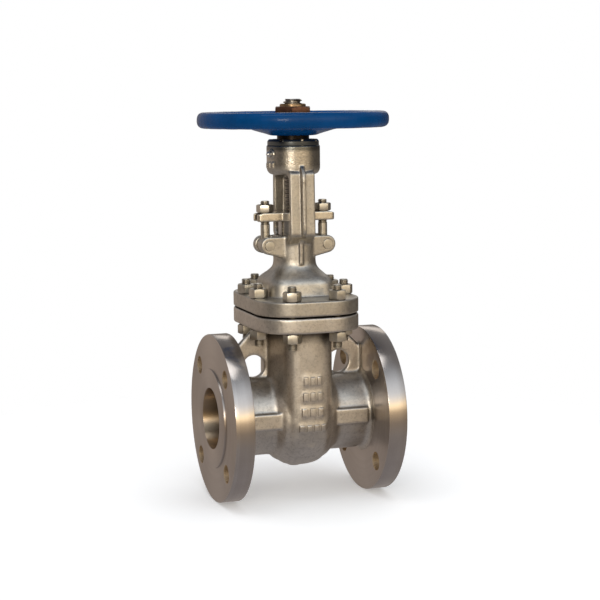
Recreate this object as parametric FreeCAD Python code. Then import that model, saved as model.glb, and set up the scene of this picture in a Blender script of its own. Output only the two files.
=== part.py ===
import FreeCAD, Part
import math
import os
from FreeCAD import Vector as V

# Flanged gate valve with a rising stem, an outside yoke and a bolted bonnet, size 65 mm (2 1/2 in),
# pressure class 150, shown closed. Millimetres. The origin is where the pipe axis (X) crosses the
# stem axis (Z). Each function makes one piece of the valve.

# ---- driving dimensions -------------------------------------------------------------------------
FACE_TO_FACE = 190.0
BORE_R = 32.25
FLANGE_R = 89.0
FLANGE_T = 22.5
RAISED_R = 52.4
RAISED_H = 2.0
BOLT_CIRCLE_R = 69.85
BOLT_HOLE_R = {"inlet": 9.5, "outlet": 9.7}
NECK_R = 40.0
PAD_Y = 44.5                # flats of the clamping pads on each side of a neck
PAD_Z = 42.5                # depth of the pad under it
PAD_HALF = 8.6
PAD_X = (31.0, 67.0)

CHAMBER_R = 56.3            # half width of the wedge chamber along Y, and its depth below the axis
NOSE_R = 62.0               # the broad curve of the chamber's front and back
NOSE_X = 14.0               # half width of that curve
SHOULDER_R = 16.0           # the tighter curve on each side of it
CHAMBER_X = 33.0            # half thickness of the chamber at the middle
COLLAR_R = 49.6             # the ring round each neck where it meets the chamber
COLLAR_X = 25.2
COLLAR_END_X = 34.5
WEB_Y = 4.0                 # half thickness of the stiffening webs
WEB_END_Z = 68.0            # where the sloping top of a web meets the flange
WEB_SHOULDER_X = 45.0       # where that slope starts under the joint
WEB_HOLE = (47.5, 53.2)
WEB_HOLE_R = 12.0
CAVITY_X = 18.0
CAVITY_R = 48.5
SEAT_OUT_R = 40.0
SEAT_IN_R = 33.0
SEAT_POCKET_X = 26.0
WEDGE_R = 37.5
WEDGE_X = 13.0              # half thickness of the wedge on the pipe axis
WEDGE_ANGLE = 5.0
TRAVEL = 69.0               # lift from closed to the backseat

JOINT_X = 55.6              # half size of the oval bonnet joint
JOINT_Y = 76.0
JOINT_CORNER = 38.8
BODY_JOINT_Z = 95.3
GASKET_Z = 111.5
BONNET_Z = 113.0
BONNET_TOP_Z = 128.7
STUD_R = 4.9
STUD_HOLE_R = 5.5
STUDS_XY = [(24.5, 65.0), (47.3, 22.0)]
NUT_AF = 17.0
NUT_H = 10.0
NUT_TURNS = {"upper": [-18, 21, 12, -7, -10, 5, -4, 26], "lower": [-17, 8, 10, -22, 3, -9, 16, -2]}

STEM_R = 10.0
THREAD_PITCH = 4.0
THREAD_Z = 196.0
STEM_TOP_Z = 334.0
BACKSEAT_Z = 150.0
BUSHING_TOP_Z = 158.0
BUSHING_R = 14.0
BOX_R = 17.0                # stuffing box
BOX_Z = 163.0
BOX_TOP_Z = 191.5
BOX_OUT_R = 22.5
GLAND_Z = 206.5
GLAND_T = 9.3
PIN_X = 32.0                # clevis pins of the two swing eyebolts
PIN_Z = 181.5
PIN_R = 4.0
EYE_R = 7.5
EAR_R = 9.3
EAR_Y = (7.5, 16.0)
EAR_ROOT_X = 15.0
EAR_ROOT_Z = 168.0
PIN_HEAD_R = 5.2
PIN_HEAD_T = 1.1
GLAND_BOLT_R = 4.9
EYEBOLT_TOP_Z = 228.0
GLAND_NUT_AF = 16.0
GLAND_NUT_H = 8.4

ARM_X = 13.8                # half width of each yoke arm
HUB_R = 28.2
HUB_Z = 255.0
HUB_TOP_Z = 286.0
SLEEVE_FLANGE_Z = 270.0
SLEEVE_FLANGE_R = 20.0
SLEEVE_R = 17.0
SLEEVE_JOURNAL_R = 15.0
YOKE_NUT_R = 23.5
WHEEL_SEAT_Z = 296.0
WHEEL_SEAT_R = 14.0
WHEEL_HUB_TOP_Z = 318.0
WHEEL_R = 101.0
RIM_W = 15.0
RIM_Z = 304.0
RIM_H = 17.0
SPOKES = 5
FIRST_SPOKE_TURN = 270
SLEEVE_TOP_Z = 329.0
RUN = 0.05                  # radial clearance of a running fit

FACE_X = FACE_TO_FACE / 2
FLANGE_BACK_X = FACE_X - FLANGE_T
COS45 = math.sqrt(0.5)


# ---- helpers ------------------------------------------------------------------------------------
def cyl(r, z0, z1, x=0.0, y=0.0):
    return Part.makeCylinder(r, z1 - z0, V(x, y, z0))


def cyl_x(r, x0, x1, y=0.0, z=0.0):
    return Part.makeCylinder(r, x1 - x0, V(x0, y, z), V(1, 0, 0))


def cyl_y(r, y0, y1, x=0.0, z=0.0):
    return Part.makeCylinder(r, y1 - y0, V(x, y0, z), V(0, 1, 0))


def box(x0, x1, y0, y1, z0, z1):
    return Part.makeBox(x1 - x0, y1 - y0, z1 - z0, V(x0, y0, z0))


def fuse(first, *others):
    return first.multiFuse(list(others)).removeSplitter()


def mirror_x(shape):
    return shape.mirror(V(0, 0, 0), V(1, 0, 0))


def mirror_y(shape):
    return shape.mirror(V(0, 0, 0), V(0, 1, 0))


def outline(place, start, *steps):
    """Closed wire. A step is a point (a line to it) or a pair of points (an arc through the first)."""
    edges = []
    here = start
    for step in steps:
        if isinstance(step[0], tuple):
            middle, end = step
            edges.append(Part.Arc(place(here), place(middle), place(end)).toShape())
        else:
            end = step
            edges.append(Part.LineSegment(place(here), place(end)).toShape())
        here = end
    if math.dist(here, start) > 1e-6:
        edges.append(Part.LineSegment(place(here), place(start)).toShape())
    return Part.Wire(edges)


def quarter(centre, r, from_deg, to_deg):
    """Arc step about a centre, from one angle to the other."""
    def at(deg):
        angle = math.radians(deg)
        return (centre[0] + r * math.cos(angle), centre[1] + r * math.sin(angle))
    return (at((from_deg + to_deg) / 2), at(to_deg))


def turned_z(start, *steps):
    """Solid of revolution about the stem axis, from points (radius, z)."""
    face = Part.Face(outline(lambda p: V(p[0], 0, p[1]), start, *steps))
    return face.revolve(V(0, 0, 0), V(0, 0, 1), 360)


def turned_x(start, *steps):
    """Solid of revolution about the pipe axis, from points (x, radius)."""
    face = Part.Face(outline(lambda p: V(p[0], 0, p[1]), start, *steps))
    return face.revolve(V(0, 0, 0), V(1, 0, 0), 360)


def prism_y(y0, y1, start, *steps):
    """Plate across Y, from points (x, z)."""
    face = Part.Face(outline(lambda p: V(p[0], y0, p[1]), start, *steps))
    return face.extrude(V(0, y1 - y0, 0))


def prism_x(half, start, *steps):
    """Plate across X, from points (y, z)."""
    face = Part.Face(outline(lambda p: V(-half, p[0], p[1]), start, *steps))
    return face.extrude(V(2 * half, 0, 0))


def rounded_wire(a, b, r, z):
    return outline(lambda p: V(p[0], p[1], z), (a, -(b - r)), (a, b - r),
                   quarter((a - r, b - r), r, 0, 90), (-(a - r), b),
                   quarter((r - a, b - r), r, 90, 180), (-a, -(b - r)),
                   quarter((r - a, r - b), r, 180, 270), (a - r, -b),
                   quarter((a - r, r - b), r, 270, 360))


def rounded_plate(a, b, r, z0, z1):
    return Part.Face(rounded_wire(a, b, r, z0)).extrude(V(0, 0, z1 - z0))


def round_ends(solid, radius, axis, *levels):
    """Rounds every edge that lies in one of the planes axis = level."""
    def lies_in(edge, level):
        reach = edge.BoundBox
        low, high = (reach.XMin, reach.XMax) if axis == "x" else (reach.YMin, reach.YMax)
        if axis == "z":
            low, high = reach.ZMin, reach.ZMax
        return abs(low - level) < 1e-3 and abs(high - level) < 1e-3
    edges = [e for e in solid.Edges if any(lies_in(e, level) for level in levels)]
    return solid.makeFillet(radius, edges)


def hexagon(across_flats, z0, z1, x=0.0, y=0.0, turn=0.0):
    """Hexagonal nut blank with both ends chamfered at 30 degrees."""
    corner = across_flats / math.sqrt(3)
    points = []
    for i in range(7):
        angle = math.radians(60 * i + turn)
        points.append(V(x + corner * math.cos(angle), y + corner * math.sin(angle), z0))
    prism = Part.Face(Part.makePolygon(points)).extrude(V(0, 0, z1 - z0))
    flat_r = across_flats / 2 * 0.96
    drop = (corner - flat_r) * math.tan(math.radians(30))
    barrel = turned_z((0, z0), (flat_r, z0), (corner, z0 + drop),
                      (corner, z1 - drop), (flat_r, z1), (0, z1))
    return prism.common(barrel.translated(V(x, y, 0)))


def bolt(r, z0, z1, x, y, chamfer=1.2):
    rod = turned_z((0, z0), (r - chamfer, z0), (r, z0 + chamfer),
                   (r, z1 - chamfer), (r - chamfer, z1), (0, z1))
    return rod.translated(V(x, y, 0))


def four(points):
    return [(sx * x, sy * y) for x, y in points for sx in (-1, 1) for sy in (-1, 1)]


def wedge_plane_cut(side, offset):
    """Everything outside the wedge's inclined face on one side (+1 or -1 along X)."""
    block = box(WEDGE_X + offset, 120, -120, 120, -150, 150)
    block.rotate(V(WEDGE_X + offset, 0, 0), V(0, 1, 0), WEDGE_ANGLE)
    return block if side > 0 else mirror_x(block)


# ---- body ---------------------------------------------------------------------------------------
def port_half():
    """Flange, neck and tapered collar of the +X end, solid."""
    root = 6.0
    lip = 2.0
    back = FLANGE_BACK_X
    face = FACE_X - RAISED_H
    return turned_x(
        (8, 0), (8, COLLAR_R), (COLLAR_X - lip, COLLAR_R),
        ((COLLAR_X - 0.3, COLLAR_R - 0.5), (COLLAR_X + lip, COLLAR_R - 2.0)),
        (COLLAR_END_X - lip, NECK_R + 2.2),
        ((COLLAR_END_X - 0.2, NECK_R + 0.7), (COLLAR_END_X + 2.4, NECK_R)),
        (back - root, NECK_R), quarter((back - root, NECK_R + root), root, 270, 360),
        (back, FLANGE_R - 1), (back + 1, FLANGE_R), (face - 1, FLANGE_R), (face, FLANGE_R - 1),
        (face, RAISED_R), (FACE_X - 0.4, RAISED_R), (FACE_X, RAISED_R - 0.4), (FACE_X, 0))


def tangent_angle(start, centre, r):
    """Angle, about a centre, of the point where a line from start touches the circle."""
    reach = math.dist(start, centre)
    bearing = math.atan2(start[1] - centre[1], start[0] - centre[0])
    return math.degrees(bearing + math.acos(r / reach))


def on_circle(centre, r, deg):
    return (centre[0] + r * math.cos(math.radians(deg)), centre[1] + r * math.sin(math.radians(deg)))


def chamber_steps(grow):
    """Outline of the chamber's front, from -X round the nose to +X, grown by some margin."""
    front_centre = (0, CHAMBER_R - NOSE_R)
    half_angle = math.degrees(math.asin(NOSE_X / NOSE_R))
    right = on_circle(front_centre, NOSE_R - SHOULDER_R, 90 - half_angle)
    left = (-right[0], right[1])
    flank = tangent_angle((CHAMBER_X, 0), right, SHOULDER_R)
    r = SHOULDER_R + grow
    return (on_circle(left, r, 180 - flank), quarter(left, r, 180 - flank, 90 + half_angle),
            quarter(front_centre, NOSE_R + grow, 90 + half_angle, 90 - half_angle),
            quarter(right, r, 90 - half_angle, flank))


def cavity_steps():
    """Outline of the cavity's front: flanks under a full round."""
    r = CAVITY_X - 0.5
    centre = (0, CAVITY_R - r)
    flank = tangent_angle((CAVITY_X, 0), centre, r)
    return on_circle(centre, r, 180 - flank), quarter(centre, r, 180 - flank, flank)


def u_shape(half_x, steps, top):
    """A turned bottom about the pipe axis under straight sides."""
    bottom = turned_x((-half_x, 0), *steps, (half_x, 0))
    half = Part.Face(outline(lambda p: V(p[0], p[1], 0), (-half_x, 0), *steps, (half_x, 0)))
    column = half.extrude(V(0, 0, top))
    return fuse(bottom, column, mirror_y(column))


def web():
    """Stiffening plate over the +X neck."""
    inner, end = 20, FLANGE_BACK_X + 1
    low, high = 30, BODY_JOINT_Z + 1
    return prism_y(-WEB_Y, WEB_Y, (inner, low), (end, low), (end, WEB_END_Z), (WEB_SHOULDER_X, high),
                   (inner, high))


def cast_marks():
    """Rows of plain raised blocks on the chamber's front."""
    proud = 0.9
    skin = u_shape(CHAMBER_X, chamber_steps(proud), 60)
    rows = [(38, 48, 11, 3), (21.5, 31.5, 12, 3), (5, 15, 13.5, 3), (-11.5, -3, 16, 4)]
    blocks = []
    for z0, z1, half, count in rows:
        pitch = 2 * half / count
        for i in range(count):
            x0 = -half + (i + 0.14) * pitch
            blocks.append(box(x0, x0 + 0.72 * pitch, -CHAMBER_R - 3, -CHAMBER_R + 8, z0, z1))
    return skin.common(blocks[0].multiFuse(blocks[1:]))


def body():
    port = port_half()
    port = port.cut(box(-1, 60, -60, 60, COLLAR_R - 0.5, 70))
    pads = fuse(box(PAD_X[0], PAD_X[1], -PAD_Y, PAD_Y, -PAD_HALF, PAD_HALF),
                box(PAD_X[0] + 1, PAD_X[1], -PAD_HALF, PAD_HALF, -PAD_Z, 0))
    joint = round_ends(rounded_plate(JOINT_X, JOINT_Y, JOINT_CORNER, BODY_JOINT_Z, GASKET_Z), 1.2,
                       "z", BODY_JOINT_Z, GASKET_Z)
    sump = cyl(7, -57.5, -50, -3.5, 0)
    shell = u_shape(CHAMBER_X, chamber_steps(0), BODY_JOINT_Z + 1)
    solid = fuse(shell, port, mirror_x(port), pads, mirror_x(pads), web(), mirror_x(web()), joint, sump,
                 cast_marks())
    hollow = [cyl_x(BORE_R, -120, 120),
              cyl_x(SEAT_OUT_R, -SEAT_POCKET_X, SEAT_POCKET_X),
              u_shape(CAVITY_X, cavity_steps(), 120)]
    for x, y in four(STUDS_XY):
        hollow.append(cyl(STUD_HOLE_R, 90, 115, x, y))
    for y, z in four([(BOLT_CIRCLE_R * COS45, BOLT_CIRCLE_R * COS45)]):
        hollow.append(cyl_x(BOLT_HOLE_R["inlet"], -120, -60, y, z))
        hollow.append(cyl_x(BOLT_HOLE_R["outlet"], 60, 120, y, z))
    for side in (-1, 1):
        hollow.append(cyl_y(WEB_HOLE_R, -14, 14, side * WEB_HOLE[0], WEB_HOLE[1]))
    solid = solid.cut(hollow[0].multiFuse(hollow[1:]))
    rail = box(-3, 3, 41, CAVITY_R + 2, -30, GASKET_Z - 4)
    return fuse(solid, rail, mirror_y(rail))


def seat_ring(side):
    """Welded seat ring, its inner face inclined to match the wedge."""
    ring = cyl_x(SEAT_OUT_R, 0, SEAT_POCKET_X).cut(cyl_x(SEAT_IN_R, -1, 60))
    ring = ring.common(wedge_plane_cut(1, 0.06))
    return ring if side > 0 else mirror_x(ring)


def body_gasket():
    z0, z1 = GASKET_Z, BONNET_Z
    return rounded_plate(39, 61, 30, z0, z1).cut(rounded_plate(30, 52, 24, z0 - 1, z1 + 1))


# ---- closure ------------------------------------------------------------------------------------
T_HEAD_R = 12.0
T_HEAD_Z = (41.2, 47.5)


def wedge():
    disc = cyl_x(WEDGE_R, -30, 30)
    guides = box(-9, 9, -44, 44, -10, 30)
    boss = round_ends(box(-15, 15, -17, 17, 28, 53), 3, "z", 53)
    solid = fuse(disc, guides, boss)
    slot = box(-3.3, 3.3, 40.7, 60, -60, 60)
    t_slot = box(-40, 40, -T_HEAD_R - 0.4, T_HEAD_R + 0.4, T_HEAD_Z[0] - 0.4, T_HEAD_Z[1])
    neck_slot = box(-40, 40, -8.4, 8.4, T_HEAD_Z[0], 60)
    dish = cyl_x(29, 10, 40).common(wedge_plane_cut(1, -1.6))
    return solid.cut(wedge_plane_cut(1, 0).multiFuse([wedge_plane_cut(-1, 0), slot, mirror_y(slot), t_slot,
                                                      neck_slot, dish, mirror_x(dish)]))


def stem():
    """T-head, backseat cone, smooth shank, and a thread drawn as closed grooves at its true pitch."""
    seat_z = BACKSEAT_Z - TRAVEL
    points = [(T_HEAD_R, T_HEAD_Z[0]), (T_HEAD_R, T_HEAD_Z[1]), (8, T_HEAD_Z[1]), (8, 55), (STEM_R, 57),
              (STEM_R, seat_z - 9), (13, seat_z - 7), (13, seat_z - 3.2), (STEM_R, seat_z - 0.2)]
    depth = 2.2
    crest = 1.4
    slope = 0.6
    z = THREAD_Z
    while z + THREAD_PITCH < STEM_TOP_Z - 4:
        root = THREAD_PITCH - crest - 2 * slope
        points += [(STEM_R, z), (STEM_R - depth, z + slope), (STEM_R - depth, z + slope + root),
                   (STEM_R, z + 2 * slope + root)]
        z += THREAD_PITCH
    points += [(STEM_R, STEM_TOP_Z - 2.4), (7.6, STEM_TOP_Z), (0, STEM_TOP_Z)]
    return turned_z((0, T_HEAD_Z[0]), *points)


# ---- bonnet with its yoke -----------------------------------------------------------------------
def dome():
    """Bell-shaped hood, from a rounded square up to the round neck."""
    base = (34.0, 37.0, 17.0)
    neck = (BOX_OUT_R, BOX_OUT_R + 0.2, 22.3)
    profile = [(BONNET_TOP_Z - 1, 0), (141.5, 0), (144, 0.03), (146, 0.1), (148, 0.22), (150, 0.38),
               (152, 0.55), (154, 0.7), (156.2, 0.84), (158.6, 0.94), (161, 0.985), (163.5, 1)]
    sections = []
    for z, blend in profile:
        a, b, r = (low + (high - low) * blend for low, high in zip(base, neck))
        sections.append(rounded_wire(a, b, r, z))
    return Part.makeLoft(sections, True, True)


def dome_hollow():
    low = rounded_plate(26, 29, 11, BONNET_Z - 1, 141)
    high = Part.makeLoft([rounded_wire(26, 29, 11, 141), rounded_wire(14.2, 14.2, 14.1, 150)], True, True)
    return low.multiFuse([high])


def yoke_arm():
    """Front arm of the yoke: a bowed plate with a centre rib that runs down the neck."""
    def front(d, z):
        return (-d, z)

    def corner(solid, d, z):
        def is_here(reach):
            along = reach.XLength > 2 * ARM_X - 0.01
            return along and abs(reach.YMin + d) < 0.01 and abs(reach.ZMin - z) < 0.01
        return [e for e in solid.Edges if is_here(e.BoundBox)]
    foot = (31.5, 192.0)
    foot_in = (25.9, 196.0)
    top = (29.9, 258.2)
    top_in = (24.4, 252.0)
    root = 17.5
    plate = prism_x(ARM_X, front(root, 181), front(22.5, 184.2), front(*foot), front(*top),
                    front(root, 262.5), front(root, 255), front(*top_in), front(*foot_in),
                    front(21.2, BOX_TOP_Z), front(root, BOX_TOP_Z))
    for (d, z), r in ((foot, 6), (foot_in, 6), (top, 4), (top_in, 4)):
        plate = plate.makeFillet(r, corner(plate, d, z))
    plate = round_ends(plate, 1.6, "x", -ARM_X, ARM_X)
    rib = prism_x(2.1, front(19, 157.5), front(24.6, 161.5), front(25.0, 183),
                  (front(26.6, 187.6), front(31.2, 190.8)), (front(35.6, 194.4), front(36.9, 199.5)),
                  front(35.9, 247), (front(34.4, 257), front(29.4, 264)), front(24, 266), front(19, 240))
    return fuse(plate, rib)


def gland_ear(y0, y1):
    """One of the four cast ears that hold the eyebolts, on the +X side."""
    root = (EAR_ROOT_X, EAR_ROOT_Z)
    tangent = tangent_angle(root, (PIN_X, PIN_Z), EAR_R)
    ear = prism_y(y0, y1, root, (EAR_ROOT_X, PIN_Z + EAR_R), (PIN_X, PIN_Z + EAR_R),
                  quarter((PIN_X, PIN_Z), EAR_R, 90, tangent))
    return round_ends(ear, 0.9, "y", y0, y1)


def yoke_hub():
    corner = 7.0
    edge = HUB_R - corner
    return turned_z((0, HUB_Z), (edge, HUB_Z), quarter((edge, HUB_Z + corner), corner, -90, 0),
                    (HUB_R, HUB_TOP_Z - 0.8), (HUB_R - 0.8, HUB_TOP_Z), (0, HUB_TOP_Z))


NIPPLE_TURN = 198.0
NIPPLE_Z = 277.0
HUB_MARKS = [181, 192, 203]


def hub_marks():
    """Plain raised blocks on the hub's side."""
    ring = cyl(HUB_R + 1.2, 261, 268.5).cut(cyl(HUB_R - 1, 260, 270))
    blocks = []
    for turn in HUB_MARKS:
        block = box(20, 40, -2.1, 2.1, 260, 270)
        block.rotate(V(0, 0, 0), V(0, 0, 1), turn)
        blocks.append(block)
    return ring.common(blocks[0].multiFuse(blocks[1:]))


def about_stem(shape, turn):
    shape.rotate(V(0, 0, 0), V(0, 0, 1), turn)
    return shape


def bonnet():
    joint = round_ends(rounded_plate(JOINT_X, JOINT_Y, JOINT_CORNER, BONNET_Z, BONNET_TOP_Z), 1.2,
                       "z", BONNET_Z, BONNET_TOP_Z)
    ears = []
    for y0, y1 in (EAR_Y, (-EAR_Y[1], -EAR_Y[0])):
        ear = gland_ear(y0, y1)
        ears += [ear, mirror_x(ear)]
    nipple_boss = about_stem(cyl_x(4.6, 22, HUB_R + 1.5, 0, NIPPLE_Z), NIPPLE_TURN)
    arm = yoke_arm()
    neck = cyl(BOX_OUT_R, 158, BOX_TOP_Z)
    solid = joint.multiFuse([dome(), neck, arm, mirror_y(arm), yoke_hub(), nipple_boss, hub_marks()] + ears)
    hollow = [cyl(STEM_R + 0.4, 140, 170), cyl(BUSHING_R, 145, BUSHING_TOP_Z), cyl(BOX_R, BOX_Z, 205),
              cyl(SLEEVE_JOURNAL_R + RUN, 250, 275), cyl(SLEEVE_FLANGE_R + 0.1, SLEEVE_FLANGE_Z, 281),
              cyl(YOKE_NUT_R, 280, 290), about_stem(cyl_x(1.5, 19, 40, 0, NIPPLE_Z), NIPPLE_TURN),
              set_screw()]
    for x, y in four(STUDS_XY):
        hollow.append(cyl(STUD_HOLE_R, 110, 132, x, y))
    for x in (-PIN_X, PIN_X):
        hollow.append(cyl_y(PIN_R, -20, 20, x, PIN_Z))
    return solid.cut(dome_hollow().multiFuse(hollow)).removeSplitter()


def backseat_bushing():
    ring = cyl(BUSHING_R - 0.02, BACKSEAT_Z, BUSHING_TOP_Z)
    return ring.cut(cyl(STEM_R + 0.3, BACKSEAT_Z - 1, BUSHING_TOP_Z + 1))


def packing_washer():
    return cyl(BOX_R, BOX_Z, BOX_Z + 2).cut(cyl(STEM_R + 0.3, BOX_Z - 1, BOX_Z + 3))


def packing_ring(index):
    side = BOX_R - STEM_R
    z0 = BOX_Z + 2 + index * side
    return cyl(BOX_R, z0, z0 + side).cut(cyl(STEM_R + RUN, z0 - 1, z0 + side + 1))


# ---- gland --------------------------------------------------------------------------------------
FOLLOWER_R = 16.5
FOLLOWER_Z = BOX_Z + 2 + 3 * (BOX_R - STEM_R)
GLAND_SEAT = 3.0
GLAND_END_X = 42.6


def gland_follower():
    inner = STEM_R + 0.4
    return turned_z((inner, FOLLOWER_Z), (FOLLOWER_R, FOLLOWER_Z), (FOLLOWER_R, GLAND_Z),
                    (FOLLOWER_R - GLAND_SEAT, GLAND_Z + GLAND_SEAT), (inner, GLAND_Z + GLAND_SEAT))


def gland_flange():
    """Plate with outward-open bolt slots; its ends fall away so the eyebolts can swing out."""
    top = GLAND_Z + GLAND_T
    plate = rounded_plate(GLAND_END_X, 10.5, 4, GLAND_Z, top)
    plate = fuse(plate, cyl(19, GLAND_Z, top))
    plate = round_ends(plate, 0.8, "z", GLAND_Z, top)
    seat = turned_z((0, GLAND_Z - 1), (FOLLOWER_R, GLAND_Z - 1), (FOLLOWER_R, GLAND_Z),
                    (FOLLOWER_R - GLAND_SEAT, GLAND_Z + GLAND_SEAT), (0, GLAND_Z + GLAND_SEAT))
    cuts = [seat, cyl(STEM_R + 0.6, GLAND_Z, top + 1)]
    for side in (-1, 1):
        x = side * PIN_X
        slot = cyl(GLAND_BOLT_R + 0.5, GLAND_Z - 1, top + 1, x, 0)
        mouth = box(PIN_X, 60, -GLAND_BOLT_R - 0.5, GLAND_BOLT_R + 0.5, GLAND_Z - 1, top + 1)
        cuts += [slot, mouth if side > 0 else mirror_x(mouth)]
        above = box(PIN_X, 60, -20, 20, GLAND_Z + 2, top + 1)
        above = above if side > 0 else mirror_x(above)
        cuts.append(above.cut(cyl_y(top - PIN_Z, -30, 30, x, PIN_Z)))
    return plate.cut(cuts[0].multiFuse(cuts[1:]))


def eyebolt(side):
    x = side * PIN_X
    eye = round_ends(cyl_y(EYE_R, -6.2, 6.2, x, PIN_Z), 1.2, "y", -6.2, 6.2)
    shank = bolt(GLAND_BOLT_R, PIN_Z + 2, EYEBOLT_TOP_Z, x, 0)
    return fuse(eye, shank).cut(cyl_y(PIN_R + RUN, -10, 10, x, PIN_Z))


def clevis_pin(side):
    x = side * PIN_X
    face = EAR_Y[1]
    end = face + PIN_HEAD_T
    head = round_ends(cyl_y(PIN_HEAD_R, -end, -face, x, PIN_Z), 0.5, "y", -end)
    tail = round_ends(cyl_y(PIN_HEAD_R, face, end, x, PIN_Z), 0.5, "y", end)
    return fuse(cyl_y(PIN_R, -face, face, x, PIN_Z), head, tail)


def gland_nut(side):
    z0 = GLAND_Z + GLAND_T + 0.05
    z1 = z0 + GLAND_NUT_H
    x = side * PIN_X
    turn = -20 if side < 0 else -8
    return hexagon(GLAND_NUT_AF, z0, z1, x, 0, turn).cut(cyl(GLAND_BOLT_R, z0 - 1, z1 + 1, x, 0))


# ---- yoke sleeve, wheel and their fittings ------------------------------------------------------
KEY = (12.5, 16.8, -2.5, 2.5)
NUT_THREAD_R = 13.8


def set_screw():
    return cyl(1.8, 284, 292.3, 1.5, -24.9)


def yoke_nut():
    low, top = 280.3, 292.0
    inner, outer = SLEEVE_R + 0.3, 27.2
    ring = turned_z((inner, low), (YOKE_NUT_R, low), (YOKE_NUT_R, HUB_TOP_Z), (outer, HUB_TOP_Z),
                    (outer, top - 2), (outer - 1.6, top), (inner, top))
    notches = []
    for turn in (45, 135, 225, 315):
        notches.append(about_stem(box(20, 30, -2.5, 2.5, top - 2.5, top + 1), turn))
    return ring.cut(set_screw().multiFuse(notches))


def stem_nut():
    """Bronze yoke sleeve: thrust flange in the hub, journal, wheel seat with a keyway, threaded top."""
    inner = STEM_R + RUN
    low = HUB_Z + 3
    flange_low, flange_top = SLEEVE_FLANGE_Z + 0.1, 280.2
    sleeve = turned_z((inner, low), (SLEEVE_JOURNAL_R, low), (SLEEVE_JOURNAL_R, flange_low),
                      (SLEEVE_FLANGE_R, flange_low), (SLEEVE_FLANGE_R, flange_top), (SLEEVE_R, flange_top),
                      (SLEEVE_R, WHEEL_SEAT_Z), (WHEEL_SEAT_R, WHEEL_SEAT_Z),
                      (WHEEL_SEAT_R, WHEEL_HUB_TOP_Z), (NUT_THREAD_R, WHEEL_HUB_TOP_Z),
                      (NUT_THREAD_R, SLEEVE_TOP_Z - 1), (NUT_THREAD_R - 1, SLEEVE_TOP_Z),
                      (inner, SLEEVE_TOP_Z))
    return sleeve.cut(box(*KEY, WHEEL_SEAT_Z + 1, WHEEL_HUB_TOP_Z + 1))


def wheel_key():
    return box(*KEY, WHEEL_SEAT_Z + 1, WHEEL_HUB_TOP_Z)


def ellipse_wire(x, z, half_y, half_z):
    curve = Part.Ellipse(V(x, half_y, z), V(x, 0, z + half_z), V(x, 0, z))
    return Part.Wire([curve.toShape()])


def handwheel():
    corner = 6.5
    rim_in = WHEEL_R - RIM_W
    inside, outside = rim_in + corner, WHEEL_R - corner
    low, high = RIM_Z, RIM_Z + RIM_H
    rim = turned_z((inside, low), (outside, low), quarter((outside, low + corner), corner, -90, 0),
                   (WHEEL_R, high - corner), quarter((outside, high - corner), corner, 0, 90),
                   (inside, high), quarter((inside, high - corner), corner, 90, 180),
                   (rim_in, low + corner), quarter((inside, low + corner), corner, 180, 270))
    hub = turned_z((WHEEL_SEAT_R, WHEEL_SEAT_Z), (25, WHEEL_SEAT_Z), (26, WHEEL_SEAT_Z + 1), (44, 302.2),
                   ((46.3, 305), (44, 308.2)), (28, 311), ((24.6, 312.4), (23.4, 316)),
                   (21.5, WHEEL_HUB_TOP_Z), (WHEEL_SEAT_R, WHEEL_HUB_TOP_Z))
    spoke = Part.makeLoft([ellipse_wire(30, 306.2, 13, 5.2), ellipse_wire(55, 308.4, 9.5, 5.2),
                           ellipse_wire(92, 311.6, 9, 4.8)], True, False)
    spokes = []
    for i in range(SPOKES):
        spokes.append(about_stem(spoke.copy(), FIRST_SPOKE_TURN + 360 * i / SPOKES))
    wheel = rim.multiFuse([hub] + spokes)
    keyway = box(*KEY, WHEEL_SEAT_Z - 1, WHEEL_HUB_TOP_Z + 1)
    return wheel.cut(cyl(WHEEL_SEAT_R, 280, 330).multiFuse([keyway]))


def handwheel_nut():
    nut = hexagon(36, WHEEL_HUB_TOP_Z, 326.2, 0, 0, 10)
    return nut.cut(cyl(NUT_THREAD_R, 310, 330))


def grease_nipple():
    base = HUB_R + 1.5
    shank, collar, ball, tip = 1.5, 3.2, 2.2, 1.2
    profile = [(base - 6, shank), (base, shank), (base, collar), (base + 2, collar), (base + 2.6, ball),
               (base + 3.4, ball), (base + 4.6, tip), (base + 4.6, 0)]
    fitting = turned_x((base - 6, 0), *profile).translated(V(0, 0, NIPPLE_Z))
    return about_stem(fitting, NIPPLE_TURN)


def nodes():
    parts = {"body": body(), "seat_ring_left": seat_ring(-1), "seat_ring_right": seat_ring(1),
             "body_gasket": body_gasket(), "wedge": wedge(), "stem": stem(), "bonnet": bonnet(),
             "backseat_bushing": backseat_bushing(), "packing_washer": packing_washer(),
             "gland_follower": gland_follower(), "gland_flange": gland_flange(), "stem_nut": stem_nut(),
             "yoke_nut": yoke_nut(), "yoke_set_screw": set_screw(), "grease_nipple": grease_nipple(),
             "handwheel": handwheel(), "wheel_key": wheel_key(), "handwheel_nut": handwheel_nut()}
    for index in range(3):
        parts[f"packing_ring_{index + 1}"] = packing_ring(index)
    for name, side in (("left", -1), ("right", 1)):
        parts[f"eyebolt_{name}"] = eyebolt(side)
        parts[f"clevis_pin_{name}"] = clevis_pin(side)
        parts[f"gland_nut_{name}"] = gland_nut(side)
    places = four(STUDS_XY)
    parts["bonnet_studs"] = Part.makeCompound([bolt(STUD_R, 78, 144, x, y) for x, y in places])
    for name, z0 in (("upper", BONNET_TOP_Z), ("lower", BODY_JOINT_Z - NUT_H)):
        nuts = []
        for (x, y), turn in zip(places, NUT_TURNS[name]):
            nut = hexagon(NUT_AF, z0, z0 + NUT_H, x, y, turn)
            nuts.append(nut.cut(cyl(STUD_R, z0 - 1, z0 + NUT_H + 1, x, y)))
        parts[f"bonnet_nuts_{name}"] = Part.makeCompound(nuts)
    return parts


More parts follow.
